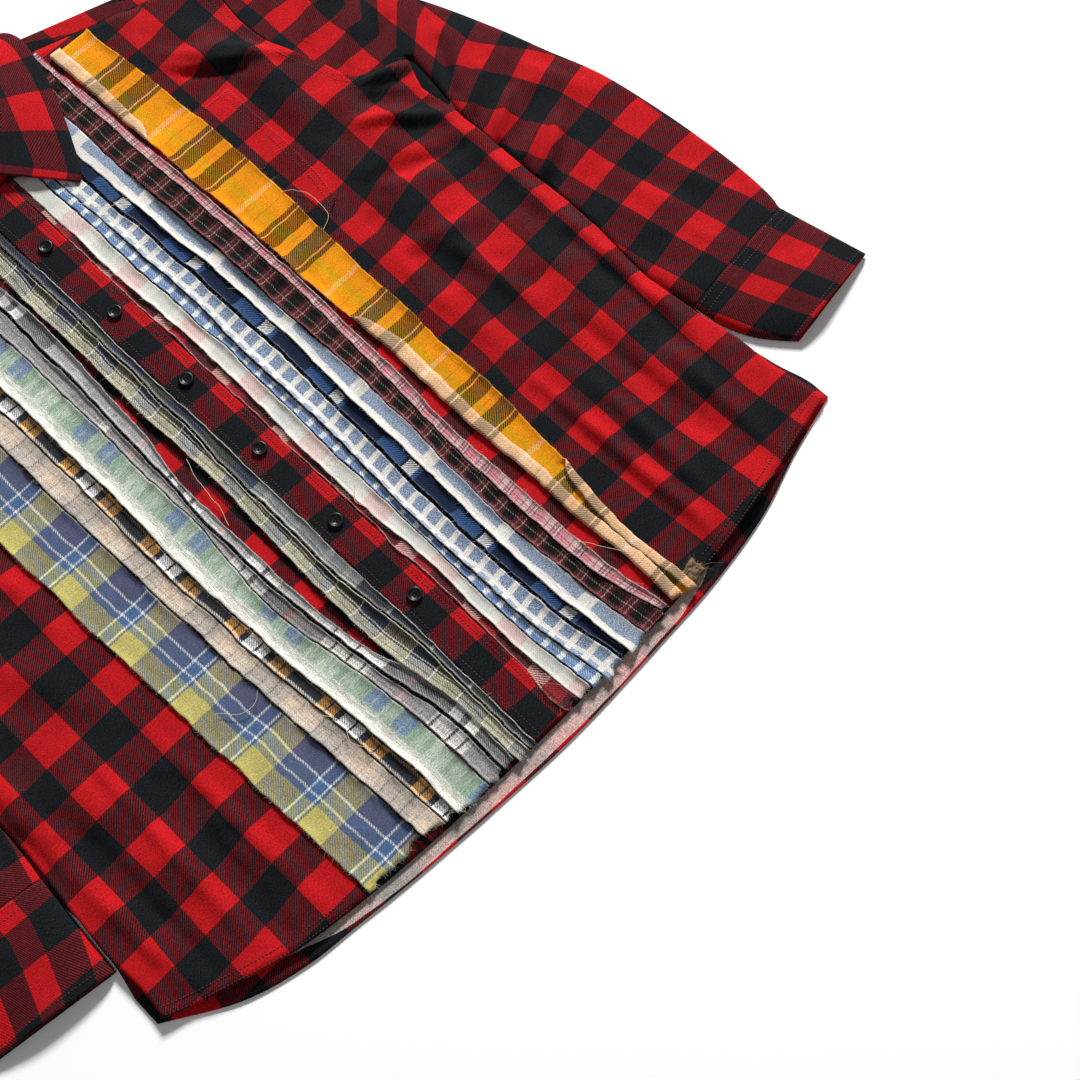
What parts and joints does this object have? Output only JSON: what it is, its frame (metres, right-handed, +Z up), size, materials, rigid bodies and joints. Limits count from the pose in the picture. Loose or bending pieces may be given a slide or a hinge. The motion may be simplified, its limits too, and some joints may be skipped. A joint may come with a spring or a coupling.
{
  "type": "flannel shirt",
  "caption": "Buttoned long-sleeved check flannel shirt laid flat, with raw-edged strips of other plaids sewn down both fronts",
  "frame": {"origin": "middle of the shirt's box, on the surface that it lies on", "axes": "+X towards the wearer's left, +Y towards the collar, +Z up from the surface, out of the fronts"},
  "size_m": [0.95, 0.8246, 0.0185],
  "materials": {
    "check_flannel": "brushed buffalo-check flannel, matt",
    "black_button": "moulded black resin, satin",
    "cloth_orange_plaid": "brushed orange and brown plaid, raw edges",
    "cloth_pink_check": "worn pink and white check, raw edges",
    "cloth_red_tartan": "dark red and green-black tartan, raw edges",
    "cloth_white_denim": "white flannel with faded blue blocks, raw edges",
    "cloth_navy_twill": "navy twill with mid-blue blocks, raw edges",
    "cloth_blue_gingham": "blue and white gingham, raw edges",
    "cloth_blue_under": "blue and white check reverse, raw edges",
    "cloth_cream_pink": "cream flannel with pale pink blocks, raw edges",
    "cloth_maroon_edge": "frayed maroon and pink edge",
    "cloth_slate_layer": "dark slate flannel, raw edges",
    "cloth_olive_plaid": "olive, cream and navy plaid, raw edges",
    "cloth_grey_check": "black, grey and white check, raw edges",
    "cloth_grey_fuzzy": "grey brushed check reverse, raw edges",
    "cloth_cream_green": "fuzzy cream flannel with green and blue bands",
    "cloth_brown_check": "black, brown and white check, raw edges",
    "cloth_beige_fuzzy": "beige and grey fuzzy reverse, raw edges",
    "cloth_blue_yellow": "blue and olive-yellow plaid with fine white lines"
  },
  "bodies": {
    "root": {"back": "check_flannel", "yoke": "check_flannel", "front_left": "check_flannel", "front_right": "check_flannel", "placket": "check_flannel", "pocket": "check_flannel", "collar_stand": "check_flannel", "collar": "check_flannel", "sleeve_left": "check_flannel", "sleeve_right": "check_flannel", "cuff_left": "check_flannel", "cuff_right": "check_flannel", "strip_orange_plaid": "cloth_orange_plaid", "strip_pink_check": "cloth_pink_check", "strip_red_tartan": "cloth_red_tartan", "strip_white_denim": "cloth_white_denim", "strip_navy_twill": "cloth_navy_twill", "strip_blue_gingham": "cloth_blue_gingham", "strip_blue_under": "cloth_blue_under", "strip_cream_pink": "cloth_cream_pink", "strip_maroon_edge": "cloth_maroon_edge", "strip_slate_layer": "cloth_slate_layer", "strip_olive_plaid": "cloth_olive_plaid", "strip_grey_check": "cloth_grey_check", "strip_grey_fuzzy": "cloth_grey_fuzzy", "strip_cream_green": "cloth_cream_green", "strip_brown_check": "cloth_brown_check", "strip_beige_fuzzy": "cloth_beige_fuzzy", "strip_blue_yellow": "cloth_blue_yellow", "button_1": "black_button", "button_2": "black_button", "button_3": "black_button", "button_4": "black_button", "button_5": "black_button", "button_6": "black_button", "button_7": "black_button"}
  },
  "joints": []
}
